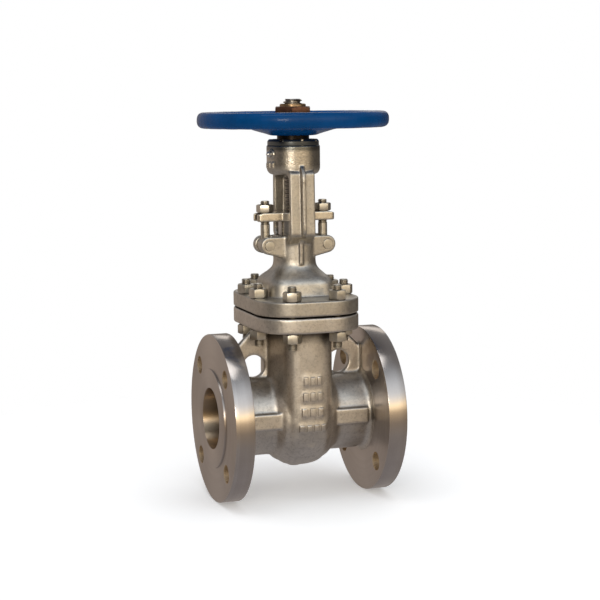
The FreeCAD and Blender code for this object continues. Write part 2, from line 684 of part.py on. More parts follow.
os.makedirs("parts", exist_ok=True)
for name, shape in nodes().items():
    shape.exportStep(f"parts/{name}.step")
    print(f"{name:20} solids {len(shape.Solids)}  valid {shape.isValid()}  {shape.Volume / 1000:9.2f} cm3")
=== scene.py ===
import math

import bmesh
import bpy
import numpy as np
from mathutils import Matrix, Vector, noise
from mathutils.bvhtree import BVHTree


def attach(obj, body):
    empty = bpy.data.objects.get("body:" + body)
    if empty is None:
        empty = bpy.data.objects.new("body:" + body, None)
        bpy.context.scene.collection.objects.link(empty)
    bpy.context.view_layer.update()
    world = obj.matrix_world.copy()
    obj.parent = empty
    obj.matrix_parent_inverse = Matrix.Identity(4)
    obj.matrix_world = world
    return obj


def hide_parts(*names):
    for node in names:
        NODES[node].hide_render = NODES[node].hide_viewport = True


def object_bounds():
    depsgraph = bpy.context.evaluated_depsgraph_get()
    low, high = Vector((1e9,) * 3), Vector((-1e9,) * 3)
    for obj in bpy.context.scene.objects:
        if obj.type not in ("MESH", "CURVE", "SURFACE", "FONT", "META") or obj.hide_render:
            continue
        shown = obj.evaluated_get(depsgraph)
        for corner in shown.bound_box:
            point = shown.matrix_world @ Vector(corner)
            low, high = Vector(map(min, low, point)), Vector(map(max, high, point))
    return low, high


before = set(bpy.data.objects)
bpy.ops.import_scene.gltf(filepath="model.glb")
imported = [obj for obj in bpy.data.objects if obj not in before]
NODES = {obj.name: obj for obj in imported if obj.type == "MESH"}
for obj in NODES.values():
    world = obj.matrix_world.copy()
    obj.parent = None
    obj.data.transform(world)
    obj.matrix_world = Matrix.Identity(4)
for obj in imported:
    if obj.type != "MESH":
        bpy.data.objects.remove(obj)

cad_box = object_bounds()
MM = 0.001


# ---- camera, light and floor --------------------------------------------------------------------
def look_at(obj, target, roll_deg=0.0):
    direction = Vector(target) - obj.location
    turn = direction.to_track_quat("-Z", "Y").to_matrix()
    obj.rotation_euler = (turn @ Matrix.Rotation(math.radians(roll_deg), 3, "Z")).to_euler()


def make_camera():
    """Long lens a little above the valve, off to the inlet side, with a slight roll."""
    data = bpy.data.cameras.new("camera")
    data.lens = 94.86
    data.sensor_width = 36.0
    camera = bpy.data.objects.new("camera", data)
    bpy.context.scene.collection.objects.link(camera)
    azimuth, elevation, distance = math.radians(18.53), math.radians(7.41), 1.6866
    target = Vector((0.0058, 0.0, 0.1210))
    reach = distance * math.cos(elevation)
    camera.location = target + Vector((-reach * math.sin(azimuth), -reach * math.cos(azimuth),
                                       distance * math.sin(elevation)))
    look_at(camera, target, -0.606)
    bpy.context.scene.camera = camera


def area_light(name, place, target, size, watts, colour):
    """Rectangular soft light."""
    data = bpy.data.lights.new(name, "AREA")
    data.shape = "RECTANGLE"
    data.size, data.size_y = size
    data.energy = watts
    data.color = colour
    light = bpy.data.objects.new(name, data)
    bpy.context.scene.collection.objects.link(light)
    light.location = place
    look_at(light, target)


def ramp_node(tree, fac, stops):
    """Colour ramp from (position, colour) stops."""
    ramp = tree.nodes.new("ShaderNodeValToRGB")
    tree.links.new(fac, ramp.inputs["Fac"])
    elements = ramp.color_ramp.elements
    elements[0].position, elements[0].color = stops[0][0], (*stops[0][1], 1)
    elements[1].position, elements[1].color = stops[-1][0], (*stops[-1][1], 1)
    for position, colour in stops[1:-1]:
        element = elements.new(position)
        element.color = (*colour, 1)
    return ramp.outputs["Color"]


def range_node(tree, value, low, high, to_low=0.0, to_high=1.0):
    """Maps low..high to to_low..to_high, clamped; low may be the larger one."""
    node = tree.nodes.new("ShaderNodeMapRange")
    node.inputs["From Min"].default_value = low
    node.inputs["From Max"].default_value = high
    node.inputs["To Min"].default_value = to_low
    node.inputs["To Max"].default_value = to_high
    tree.links.new(value, node.inputs["Value"])
    return node.outputs["Result"]


def mix_node(tree, fac, first, second):
    """Colour mix; each input is a socket or a constant."""
    node = tree.nodes.new("ShaderNodeMix")
    node.data_type = "RGBA"
    for socket, value in ((node.inputs[0], fac), (node.inputs[6], first), (node.inputs[7], second)):
        if isinstance(value, bpy.types.NodeSocket):
            tree.links.new(value, socket)
        elif isinstance(value, tuple):
            socket.default_value = (*value, 1)
        else:
            socket.default_value = value
    return node.outputs[2]


# level directions of the window and of the wall behind
FRONT = (0.06, -0.998, 0.0)
BACK_LEFT = (-0.55, 0.835, 0.0)
# colours by the sine of the height above the horizon, -1 to 1 mapped to 0 to 1
WINDOW = [(0.0, (0.30, 0.29, 0.305)), (0.24, (0.31, 0.29, 0.285)), (0.40, (0.37, 0.31, 0.25)),
          (0.500, (0.76, 0.60, 0.41)), (0.528, (1.05, 0.84, 0.56)), (0.548, (1.85, 1.49, 0.98)),
          (0.588, (2.45, 2.02, 1.36)), (0.625, (1.65, 1.58, 1.42)), (0.70, (1.15, 1.26, 1.38)),
          (0.79, (1.00, 1.12, 1.26)), (0.90, (0.58, 0.65, 0.74)), (0.96, (0.24, 0.265, 0.31)),
          (1.0, (0.13, 0.135, 0.15))]
SIDES = [(0.0, (0.30, 0.29, 0.305)), (0.25, (0.35, 0.325, 0.31)), (0.35, (0.27, 0.245, 0.22)),
         (0.42, (0.11, 0.095, 0.08)), (0.56, (0.09, 0.08, 0.07)), (0.68, (0.28, 0.275, 0.275)),
         (0.80, (0.32, 0.325, 0.34)), (1.0, (0.14, 0.14, 0.15))]
BEHIND = [(0.0, (0.30, 0.29, 0.305)), (0.25, (0.33, 0.30, 0.285)), (0.44, (0.395, 0.333, 0.288)),
          (0.54, (0.47, 0.41, 0.365)), (0.70, (0.34, 0.33, 0.34)), (0.85, (0.20, 0.205, 0.215)),
          (1.0, (0.13, 0.13, 0.14))]


def make_world():
    """A soft studio: a warm window in front, cool light above it, dark sides and a dim wall behind."""
    world = bpy.data.worlds.new("studio")
    bpy.context.scene.world = world
    world.use_nodes = True
    tree = world.node_tree
    tree.nodes.clear()
    out = tree.nodes.new("ShaderNodeOutputWorld")
    coord = tree.nodes.new("ShaderNodeTexCoord").outputs["Generated"]
    split = tree.nodes.new("ShaderNodeSeparateXYZ")
    tree.links.new(coord, split.inputs[0])
    height = range_node(tree, split.outputs["Z"], -1.0, 1.0)
    level = tree.nodes.new("ShaderNodeVectorMath")
    level.operation = "MULTIPLY"
    level.inputs[1].default_value = (1, 1, 0)
    tree.links.new(coord, level.inputs[0])
    unit = tree.nodes.new("ShaderNodeVectorMath")
    unit.operation = "NORMALIZE"
    tree.links.new(level.outputs[0], unit.inputs[0])
    sky = ramp_node(tree, height, SIDES)
    for direction, start, full, colours in ((BACK_LEFT, 0.45, 0.92, BEHIND), (FRONT, 0.42, 0.92, WINDOW)):
        facing = tree.nodes.new("ShaderNodeVectorMath")
        facing.operation = "DOT_PRODUCT"
        facing.inputs[1].default_value = direction
        tree.links.new(unit.outputs[0], facing.inputs[0])
        share = range_node(tree, facing.outputs["Value"], start, full)
        sky = mix_node(tree, share, sky, ramp_node(tree, height, colours))
    studio = tree.nodes.new("ShaderNodeBackground")
    tree.links.new(sky, studio.inputs["Color"])
    white = tree.nodes.new("ShaderNodeBackground")
    white.inputs["Color"].default_value = (1, 1, 1, 1)
    path = tree.nodes.new("ShaderNodeLightPath")
    mix = tree.nodes.new("ShaderNodeMixShader")
    tree.links.new(path.outputs["Is Camera Ray"], mix.inputs["Fac"])
    tree.links.new(studio.outputs[0], mix.inputs[1])
    tree.links.new(white.outputs[0], mix.inputs[2])
    tree.links.new(mix.outputs[0], out.inputs["Surface"])


# ---- materials ----------------------------------------------------------------------------------
BUMP_STRENGTH = 0.8
# oil films that also paint the handwheel's shadow on the top of the hub and on the stem nut
OIL_AND_SHADOW = (0.10, 0.11, 0.11)
OLD_OIL_AND_SHADOW = (0.035, 0.03, 0.028)
TURNED_DIRT_AND_SHADE = (0.19, 0.15, 0.115)
HUB_ROUGHNESS = (0.27, 0.27, 0.27)
RIM_ROUGHNESS = (0.22, 0.22, 0.22)
BORE_GOLD = (0.42, 0.32, 0.215)
# radii in metres where the tint of the bore begins and where it is full
BORE_EDGE = (0.0330, 0.0322)


def new_material(name):
    material = bpy.data.materials.new(name)
    material.use_nodes = True
    tree = material.node_tree
    return material, tree, tree.nodes["Principled BSDF"]


def object_coords(tree):
    return tree.nodes.new("ShaderNodeTexCoord").outputs["Object"]


def noise_node(tree, coords, scale, detail=4.0, rough=0.55):
    node = tree.nodes.new("ShaderNodeTexNoise")
    node.inputs["Scale"].default_value = scale
    node.inputs["Detail"].default_value = detail
    node.inputs["Roughness"].default_value = rough
    tree.links.new(coords, node.inputs["Vector"])
    return node.outputs["Fac"]


def bump_node(tree, height, distance, strength=1.0, below=None):
    node = tree.nodes.new("ShaderNodeBump")
    node.inputs["Strength"].default_value = strength
    node.inputs["Distance"].default_value = distance
    tree.links.new(height, node.inputs["Height"])
    if below is not None:
        tree.links.new(below, node.inputs["Normal"])
    return node.outputs["Normal"]


def occlusion_node(tree, reach, samples=6):
    """How open the surface is: 1 in the open, near 0 in corners within reach."""
    node = tree.nodes.new("ShaderNodeAmbientOcclusion")
    node.samples = samples
    node.inputs["Distance"].default_value = reach
    return node.outputs["AO"]


def pointiness_node(tree):
    return tree.nodes.new("ShaderNodeNewGeometry").outputs["Pointiness"]


def split_node(tree, vector):
    split = tree.nodes.new("ShaderNodeSeparateXYZ")
    tree.links.new(vector, split.inputs[0])
    return split


def radius_node(tree, coords, axis):
    """Distance from one axis, and the place along it."""
    split = split_node(tree, coords)
    flat = tree.nodes.new("ShaderNodeCombineXYZ")
    for letter in "XYZ":
        if letter != axis:
            tree.links.new(split.outputs[letter], flat.inputs[letter])
    length = tree.nodes.new("ShaderNodeVectorMath")
    length.operation = "LENGTH"
    tree.links.new(flat.outputs[0], length.inputs[0])
    return length.outputs["Value"], split.outputs[axis]


def bore_tint(tree, coords, tone):
    """The bore is a duller gold than the outside."""
    radius, _ = radius_node(tree, coords, "X")
    return mix_node(tree, range_node(tree, radius, *BORE_EDGE), tone, BORE_GOLD)


def cast_metal(name, light, dark, rough, grain=0.00016, hollow_dirt_and_shade_colour=(0.13, 0.10, 0.075), worn=0.35, bore=False,
               oil_and_shadow_from=None, reach=0.016, hollow_dirt_and_shade_strength=0.92, painted_shadow_band=None, smooth_from=None):
    """Blasted stainless casting: fine grain, cloudy tone, brown dirt and painted shade in the hollows,
    brighter edges.

    Heights in metres: the shadow band (low, high) darkens upwards, a painted shadow under the joint flange;
    the oil film, which also paints the handwheel's shadow, and the finer finish (smooth_from) begin at their
    own heights.
    """
    material, tree, shader = new_material(name)
    coords = object_coords(tree)
    cloud = noise_node(tree, coords, 38.0, 5.0, 0.6)
    speck = noise_node(tree, coords, 520.0, 4.0, 0.75)
    tone = mix_node(tree, range_node(tree, cloud, 0.32, 0.68), dark, light)
    tone = mix_node(tree, range_node(tree, speck, 0.35, 0.75, 0.0, 0.45), tone, light)
    pits = noise_node(tree, coords, 330.0, 5.0, 0.8)
    tone = mix_node(tree, range_node(tree, pits, 0.48, 0.68, 0.0, 0.65), tone, tuple(c * 0.62 for c in dark))
    # dirt and painted shade: browner and darker where the surface is hemmed in
    hollow_dirt_and_shade = range_node(tree, occlusion_node(tree, reach), 0.18, 0.80, hollow_dirt_and_shade_strength, 0.0)
    tone = mix_node(tree, hollow_dirt_and_shade, tone, hollow_dirt_and_shade_colour)
    height = split_node(tree, coords).outputs["Z"]
    # painted shadow: darker upwards through the band just under the joint flange
    if painted_shadow_band is not None:
        low, high = painted_shadow_band
        shadow_under_joint = tree.nodes.new("ShaderNodeMath")
        shadow_under_joint.operation = "MULTIPLY"
        tree.links.new(range_node(tree, height, low, high, 0.0, 0.97), shadow_under_joint.inputs[0])
        tree.links.new(range_node(tree, height, high + 0.0008, high + 0.0002), shadow_under_joint.inputs[1])
        tone = mix_node(tree, shadow_under_joint.outputs[0], tone, tuple(c * 0.4 for c in hollow_dirt_and_shade_colour))
    bright = tuple(min(1.0, c * 1.25) for c in light)
    tone = mix_node(tree, range_node(tree, pointiness_node(tree), 0.51, 0.58, 0.0, worn), tone, bright)
    if bore:
        tone = bore_tint(tree, coords, tone)
    # oil film and painted shadow of the handwheel on the top of the hub
    if oil_and_shadow_from is not None:
        oil_and_shadow_film = range_node(tree, height, oil_and_shadow_from, oil_and_shadow_from + 0.003, 0.0, 0.75)
        tone = mix_node(tree, oil_and_shadow_film, tone, OIL_AND_SHADOW)
    tree.links.new(tone, shader.inputs["Base Color"])
    shader.inputs["Metallic"].default_value = 1.0
    patch = noise_node(tree, coords, 120.0, 4.0, 0.6)
    matt = range_node(tree, patch, 0.3, 0.7, rough - 0.05, rough + 0.07)
    if smooth_from is not None:
        finer = range_node(tree, height, smooth_from, smooth_from + 0.004)
        matt = mix_node(tree, finer, matt, HUB_ROUGHNESS)
    tree.links.new(matt, shader.inputs["Roughness"])
    fine = bump_node(tree, noise_node(tree, coords, 2200.0, 2.0, 0.6), grain * 0.5, BUMP_STRENGTH)
    coarse = bump_node(tree, noise_node(tree, coords, 620.0, 3.0, 0.65), grain * 1.3, BUMP_STRENGTH, fine)
    tree.links.new(coarse, shader.inputs["Normal"])
    return material


def ring_noise_node(tree, place, scale, detail):
    """Noise in one dimension, which gives rings on a turned surface."""
    rings = tree.nodes.new("ShaderNodeTexNoise")
    rings.noise_dimensions = "1D"
    rings.inputs["Scale"].default_value = scale
    rings.inputs["Detail"].default_value = detail
    tree.links.new(place, rings.inputs["W"])
    return rings.outputs["Fac"]


def turned_metal(name, colour, shade, rough, axis="X", spread=0.6, bore=False, oil_and_shadow_to=None, rim_from=None):
    """Machined stainless with fine turning marks about one axis.

    The oil film reaches up to its given height in metres and also paints the handwheel's shadow there;
    rim_from is the radius of the finer rim.
    """
    material, tree, shader = new_material(name)
    coords = object_coords(tree)
    radius, place = radius_node(tree, coords, axis)
    along = tree.nodes.new("ShaderNodeMath")
    along.operation = "ADD"
    tree.links.new(radius, along.inputs[0])
    tree.links.new(place, along.inputs[1])
    rings = ring_noise_node(tree, along.outputs[0], 1500.0, 3.0)
    broad = ring_noise_node(tree, along.outputs[0], 130.0, 2.0)
    cloud = noise_node(tree, coords, 30.0, 4.0, 0.6)
    tone = mix_node(tree, range_node(tree, cloud, 0.3, 0.7, 0.3, 1.0), shade, colour)
    tone = mix_node(tree, range_node(tree, rings, 0.35, 0.65, 0.0, 0.35), tone, shade)
    tone = mix_node(tree, range_node(tree, broad, 0.35, 0.65, 0.0, 0.45), tone, shade)
    # dirt and painted shade: darker in the corners
    hollow_dirt_and_shade = range_node(tree, occlusion_node(tree, 0.006), 0.2, 0.8, 0.45, 0.0)
    tone = mix_node(tree, hollow_dirt_and_shade, tone, TURNED_DIRT_AND_SHADE)
    if bore:
        tone = bore_tint(tree, coords, tone)
    # old oil and painted shadow of the handwheel, below the given height
    if oil_and_shadow_to is not None:
        oil_and_shadow_film = range_node(tree, place, oil_and_shadow_to + 0.003, oil_and_shadow_to, 0.0, 0.9)
        tone = mix_node(tree, oil_and_shadow_film, tone, OLD_OIL_AND_SHADOW)
    tree.links.new(tone, shader.inputs["Base Color"])
    shader.inputs["Metallic"].default_value = 1.0
    shader.inputs["Anisotropic"].default_value = spread
    shader.inputs["Anisotropic Rotation"].default_value = 0.25
    tangent = tree.nodes.new("ShaderNodeTangent")
    tangent.direction_type = "RADIAL"
    tangent.axis = axis
    tree.links.new(tangent.outputs[0], shader.inputs["Tangent"])
    patch = noise_node(tree, coords, 60.0, 4.0, 0.6)
    polish = range_node(tree, patch, 0.3, 0.7, rough - 0.015, rough + 0.03)
    if rim_from is not None:
        on_rim = range_node(tree, radius, rim_from, rim_from + 0.0004)
        polish = mix_node(tree, on_rim, polish, RIM_ROUGHNESS)
    tree.links.new(polish, shader.inputs["Roughness"])
    tree.links.new(bump_node(tree, rings, 0.000004), shader.inputs["Normal"])
    return material


def satin_metal(name, colour, shade, rough, scratch=0.00003, hollow_dirt_and_shade_colour=None):
    """Bright fastener steel: small scratches and dents, uneven polish."""
    material, tree, shader = new_material(name)
    coords = object_coords(tree)
    cloud = noise_node(tree, coords, 160.0, 4.0, 0.6)
    tone = mix_node(tree, range_node(tree, cloud, 0.3, 0.7), shade, colour)
    # dirt and painted shade: darker in the corners
    if hollow_dirt_and_shade_colour is not None:
        hollow_dirt_and_shade = range_node(tree, occlusion_node(tree, 0.004), 0.3, 0.95, 0.8, 0.0)
        tone = mix_node(tree, hollow_dirt_and_shade, tone, hollow_dirt_and_shade_colour)
    tree.links.new(tone, shader.inputs["Base Color"])
    shader.inputs["Metallic"].default_value = 1.0
    patch = noise_node(tree, coords, 300.0, 4.0, 0.65)
    tree.links.new(range_node(tree, patch, 0.3, 0.7, rough - 0.06, rough + 0.10), shader.inputs["Roughness"])
    dents = bump_node(tree, noise_node(tree, coords, 260.0, 3.0, 0.5), scratch * 2)
    tree.links.new(bump_node(tree, noise_node(tree, coords, 1400.0, 2.0, 0.6), scratch, 0.7, dents),
                   shader.inputs["Normal"])
    return material


def wheel_enamel():
    """Glossy blue enamel over a casting: slight orange peel, thin and bright at the corners."""
    material, tree, shader = new_material("wheel_enamel")
    coords = object_coords(tree)
    cloud = noise_node(tree, coords, 22.0, 4.0, 0.6)
    tone = mix_node(tree, range_node(tree, cloud, 0.3, 0.7), (0.0008, 0.048, 0.168), (0.0013, 0.072, 0.255))
    tone = mix_node(tree, range_node(tree, pointiness_node(tree), 0.51, 0.57, 0.0, 0.30), tone,
                    (0.02, 0.13, 0.36))
    tree.links.new(tone, shader.inputs["Base Color"])
    patch = noise_node(tree, coords, 140.0, 3.0, 0.5)
    tree.links.new(range_node(tree, patch, 0.3, 0.7, 0.20, 0.34), shader.inputs["Roughness"])
    shader.inputs["Specular IOR Level"].default_value = 0.08
    shader.inputs["Coat Weight"].default_value = 0.12
    shader.inputs["Coat Roughness"].default_value = 0.08
    peel = bump_node(tree, noise_node(tree, coords, 520.0, 2.0, 0.5), 0.00005)
    lumps = bump_node(tree, noise_node(tree, coords, 110.0, 3.0, 0.5), 0.00025, 0.6, peel)
    tree.links.new(lumps, shader.inputs["Normal"])
    return material


def graphite():
    """Pressed graphite: dark, fibrous, with a dull sheen."""
    material, tree, shader = new_material("graphite")
    coords = object_coords(tree)
    fibres = noise_node(tree, coords, 700.0, 4.0, 0.7)
    tone = mix_node(tree, fibres, (0.03, 0.03, 0.033), (0.10, 0.10, 0.11))
    tree.links.new(tone, shader.inputs["Base Color"])
    shader.inputs["Metallic"].default_value = 0.2
    tree.links.new(range_node(tree, fibres, 0.3, 0.7, 0.45, 0.65), shader.inputs["Roughness"])
    tree.links.new(bump_node(tree, fibres, 0.0001), shader.inputs["Normal"])
    return material


# the casting has a painted shadow band under the joint, and painted shade with its dirt in the hollows
CAST = cast_metal("cast_steel", (0.70, 0.644, 0.574), (0.54, 0.494, 0.436), 0.37, 0.00017, reach=0.020,
                  hollow_dirt_and_shade_colour=(0.085, 0.070, 0.055), bore=True, painted_shadow_band=(0.081, 0.0945))
HOOD = cast_metal("bonnet_steel", (0.61, 0.565, 0.495), (0.475, 0.435, 0.375), 0.38, 0.00014, worn=0.2,
                  oil_and_shadow_from=0.279, reach=0.008, hollow_dirt_and_shade_strength=0.75, smooth_from=0.262)
RIM = turned_metal("turned_flange", (0.60, 0.545, 0.50), (0.48, 0.42, 0.375), 0.33, spread=0.8, bore=True,
                   rim_from=0.0882)
DRILLED = satin_metal("drilled_hole", (0.76, 0.635, 0.465), (0.55, 0.44, 0.31), 0.48)
BAR = turned_metal("turned_bar", (0.62, 0.60, 0.57), (0.50, 0.48, 0.45), 0.26, "Z")
# dark yoke nut: oil and painted shadow of the handwheel
OILY_AND_SHADED = turned_metal("oily_shaded_ring", (0.20, 0.215, 0.215), (0.12, 0.125, 0.125), 0.34, "Z")
GLAND = cast_metal("gland_steel", (0.84, 0.765, 0.64), (0.72, 0.65, 0.54), 0.29, 0.00010)
BOLT = satin_metal("bolt_steel", (0.69, 0.645, 0.565), (0.52, 0.48, 0.405), 0.33, hollow_dirt_and_shade_colour=(0.13, 0.105, 0.08))
THREAD = satin_metal("thread_steel", (0.50, 0.46, 0.41), (0.30, 0.27, 0.23), 0.32, hollow_dirt_and_shade_colour=(0.05, 0.04, 0.035))
BRONZE = turned_metal("bronze", (0.46, 0.31, 0.17), (0.30, 0.19, 0.10), 0.34, "Z", oil_and_shadow_to=0.300)
BROWN = satin_metal("brown_nut", (0.24, 0.12, 0.072), (0.13, 0.062, 0.042), 0.42, 0.00006)
ZINC = satin_metal("zinc", (0.74, 0.74, 0.73), (0.58, 0.58, 0.58), 0.30)
ENAMEL = wheel_enamel()
GRAPHITE = graphite()


# ---- mesh tools ---------------------------------------------------------------------------------
def mesh_from(name, points, faces):
    mesh = bpy.data.meshes.new(name)
    mesh.from_pydata(points, [], faces)
    return mesh


def node_bmesh(node):
    """The CAD node's faces, welded, without its stored normals."""
    source = NODES[node].data
    points = np.empty(len(source.vertices) * 3)
    source.vertices.foreach_get("co", points)
    mesh = mesh_from("work", points.reshape(-1, 3).tolist(), [list(p.vertices) for p in source.polygons])
    bm = bmesh.new()
    bm.from_mesh(mesh)
    bpy.data.meshes.remove(mesh)
    bmesh.ops.remove_doubles(bm, verts=bm.verts, dist=2e-6)
    return bm


def piece(name, bm_or_mesh, material, body, replaced, sharp_deg=None, second=None, is_second=None):
    """Links a finished mesh as a piece of the object. Faces picked by is_second get the second material."""
    if isinstance(bm_or_mesh, bmesh.types.BMesh):
        mesh = bpy.data.meshes.new(name)
        bm_or_mesh.to_mesh(mesh)
        bm_or_mesh.free()
    else:
        mesh = bm_or_mesh
        mesh.name = name
    mesh.polygons.foreach_set("use_smooth", [True] * len(mesh.polygons))
    if sharp_deg is not None:
        mesh.set_sharp_from_angle(angle=math.radians(sharp_deg))
    mesh.materials.clear()
    mesh.materials.append(material)
    if second is not None:
        mesh.materials.append(second)
        mesh.polygons.foreach_set("material_index", [int(is_second(p)) for p in mesh.polygons])
    obj = bpy.data.objects.new(name, mesh)
    bpy.context.scene.collection.objects.link(obj)
    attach(obj, body)
    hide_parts(*replaced)


def evaluated(bm, *modifiers):
    """The mesh after Blender modifiers, given as (type, settings)."""
    mesh = bpy.data.meshes.new("work")
    bm.to_mesh(mesh)
    bm.free()
    obj = bpy.data.objects.new("work", mesh)
    bpy.context.scene.collection.objects.link(obj)
    for kind, settings in modifiers:
        modifier = obj.modifiers.new(kind, kind)
        for key, value in settings.items():
            setattr(modifier, key, value)
    result = bpy.data.meshes.new_from_object(obj.evaluated_get(bpy.context.evaluated_depsgraph_get()))
    bpy.data.objects.remove(obj)
    bpy.data.meshes.remove(mesh)
    return result


def mesh_points(mesh):
    """The vertices as rows of x, y, z."""
    points = np.empty(len(mesh.vertices) * 3)
    mesh.vertices.foreach_get("co", points)
    return points.reshape(-1, 3)


def soften(mesh, rounds, weight):
    """Relaxes a dense mesh, which rounds the edges and fills the inner corners as a casting does."""
    points = mesh_points(mesh)
    count = len(points)
    edges = np.empty(len(mesh.edges) * 2, dtype=np.int64)
    mesh.edges.foreach_get("vertices", edges)
    a, b = edges.reshape(-1, 2).T
    degree = np.bincount(a, minlength=count) + np.bincount(b, minlength=count)
    share = (0.5 * weight(points / MM) / np.maximum(degree, 1))[:, None]
    for _ in range(rounds):
        pull = np.empty_like(points)
        for axis in range(3):
            column = points[:, axis]
            pull[:, axis] = (np.bincount(a, column[b], count) + np.bincount(b, column[a], count)
                             - degree * column)
        points = points + share * pull
    return points


def casting(node, weight, voxel, rounds, waves=0.00007):
    """The node remeshed finely and softened, with a faint unevenness of the skin."""
    mesh = evaluated(node_bmesh(node), ("REMESH", {"mode": "VOXEL", "voxel_size": voxel}))
    points = soften(mesh, rounds, weight)
    mesh.vertices.foreach_set("co", points.ravel())
    mesh.update()
    normals = np.empty(len(mesh.vertices) * 3)
    mesh.vertex_normals.foreach_get("vector", normals)
    lift = np.array([noise.noise(Vector(p) * 95.0) + 0.5 * noise.noise(Vector(p) * 260.0) for p in points])
    lift *= waves * weight(points / MM)
    mesh.vertices.foreach_set("co", (points + normals.reshape(-1, 3) * lift[:, None]).ravel())
    mesh.update()
    return mesh


def cut(bm, point, normal):
    """Removes what is on the normal's side of a plane and closes the section."""
    geometry = bm.verts[:] + bm.edges[:] + bm.faces[:]
    found = bmesh.ops.bisect_plane(bm, geom=geometry, dist=1e-7, plane_co=point, plane_no=normal,
                                   clear_outer=True)
    rim = [g for g in found["geom_cut"] if isinstance(g, bmesh.types.BMEdge) and g.is_boundary]
    if rim:
        bmesh.ops.triangle_fill(bm, use_beauty=False, use_dissolve=False, edges=rim, normal=normal)


def band(value, low, high, soft):
    """1 inside low..high, falling to 0 over soft outside."""
    return np.clip(1 + np.minimum(value - low, high - value) / soft, 0, 1)


# ---- body ---------------------------------------------------------------------------------------
# millimetres
FLANGE_BACK = 72.5
FLANGE_FACE = 93.0
FLANGE_R = 89.0
RAISED_R = 52.4
RAISED_H = 2.0
BORE_R = 32.25
BOLT_CIRCLE_R = 69.85
BOLT_HOLE_R = {"inlet": 9.5, "outlet": 9.7}
COUNTERSINK = 5.5            # how far the drill flares out, past each face of the flange
JOINT_BOTTOM_Z = 95.3
WEB_HOLE = (47.5, 53.2)


def body_weight(p):
    """How far each point of the body casting is softened."""
    x, y, z = np.abs(p[:, 0]), np.abs(p[:, 1]), p[:, 2]
    joint = band(z, JOINT_BOTTOM_Z + 0.8, 200, 1.5)
    pads = band(x, 30, 67, 2) * band(y, 39.5, 50, 1.5) * band(np.abs(z), 0, 11, 1.5)
    hole = band(np.hypot(x - WEB_HOLE[0], z - WEB_HOLE[1]), 0, 13.5, 1.5) * band(y, 0, 6, 1)
    bore = band(np.hypot(y, z), 0, 34, 1) * band(x, 27, 200, 1)
    return (1 - 0.82 * joint) * (1 - 0.85 * pads) * (1 - 0.75 * hole) * (1 - 0.93 * bore)


def make_body():
    """Casting between two turned flanges. Returns its skin for laying marks on."""
    mesh = casting("body", body_weight, voxel=1.1 * MM, rounds=18)
    bm = bmesh.new()
    bm.from_mesh(mesh)
    bpy.data.meshes.remove(mesh)
    edge = (FLANGE_BACK - 0.2) * MM
    cut(bm, (edge, 0, 0), (1, 0, 0))
    cut(bm, (-edge, 0, 0), (-1, 0, 0))
    skin = BVHTree.FromBMesh(bm)
    piece("body_casting", bm, CAST, "valve", ["body"])
    for name, side in (("inlet", -1), ("outlet", 1)):
        piece(f"body_flange_{name}", flange_disc(side, BOLT_HOLE_R[name]), RIM, "valve", ["body"],
              sharp_deg=30, second=DRILLED, is_second=in_bolt_hole)
    return skin


def in_bolt_hole(face):
    """Faces of the drilled walls, told by their place on the bolt circle and their sideways normal."""
    y, z = abs(face.center.y) / MM, abs(face.center.z) / MM
    hole = BOLT_CIRCLE_R * math.sqrt(0.5)
    reach = max(BOLT_HOLE_R.values()) + 0.5
    return math.hypot(y - hole, z - hole) < reach and abs(face.normal.x) < 0.8


def ring_of(bm, points, sides):
    """Closed solid of revolution about the X axis from (x, radius) points."""
    rings = []
    for x, r in points:
        ring = []
        for i in range(sides):
            angle = 2 * math.pi * i / sides
            ring.append(bm.verts.new((x * MM, r * math.cos(angle) * MM, r * math.sin(angle) * MM)))
        rings.append(ring)
    for a, b in zip(rings, rings[1:] + rings[:1]):
        for i in range(sides):
            j = (i + 1) % sides
            bm.faces.new((a[i], a[j], b[j], b[i]))
    bmesh.ops.recalc_face_normals(bm, faces=bm.faces)


def flange_disc(side, hole_r):
    """Turned flange with its raised face and four drilled, lightly countersunk bolt holes."""
    face, back, outer = FLANGE_FACE, FLANGE_BACK - 0.1, FLANGE_R
    top = face + RAISED_H
    points = [(back, BORE_R), (back, outer - 1.0), (back + 0.3, outer - 0.3), (back + 1.0, outer),
              (face - 1.0, outer), (face - 0.3, outer - 0.3), (face, outer - 1.0), (face, RAISED_R + 0.8),
              (face + 0.15, RAISED_R + 0.2), (top - 0.5, RAISED_R), (top - 0.15, RAISED_R - 0.15),
              (top, RAISED_R - 0.5), (top, BORE_R + 0.75), (top - 0.25, BORE_R + 0.2), (top - 0.7, BORE_R)]
    bm = bmesh.new()
    ring_of(bm, [(side * x, r) for x, r in points], 160)
    drill = bmesh.new()
    for i in range(4):
        turn = math.radians(45 + 90 * i)
        centre = Vector((0, BOLT_CIRCLE_R * math.cos(turn), BOLT_CIRCLE_R * math.sin(turn)))
        single = bmesh.new()
        low, high, flared = back - 5, face + 5, hole_r + COUNTERSINK
        sections = [(low, 0.001), (low, flared), (back + 0.5, hole_r), (face - 0.5, hole_r), (high, flared),
                    (high, 0.001)]
        ring_of(single, [(side * x, r) for x, r in sections], 40)
        append(drill, single, centre)
        single.free()
    tool_mesh = bpy.data.meshes.new("drill")
    drill.to_mesh(tool_mesh)
    drill.free()
    tool = bpy.data.objects.new("drill", tool_mesh)
    bpy.context.scene.collection.objects.link(tool)
    disc = evaluated(bm, ("BOOLEAN", {"operation": "DIFFERENCE", "solver": "EXACT", "object": tool}))
    bpy.data.objects.remove(tool)
    bpy.data.meshes.remove(tool_mesh)
    return disc


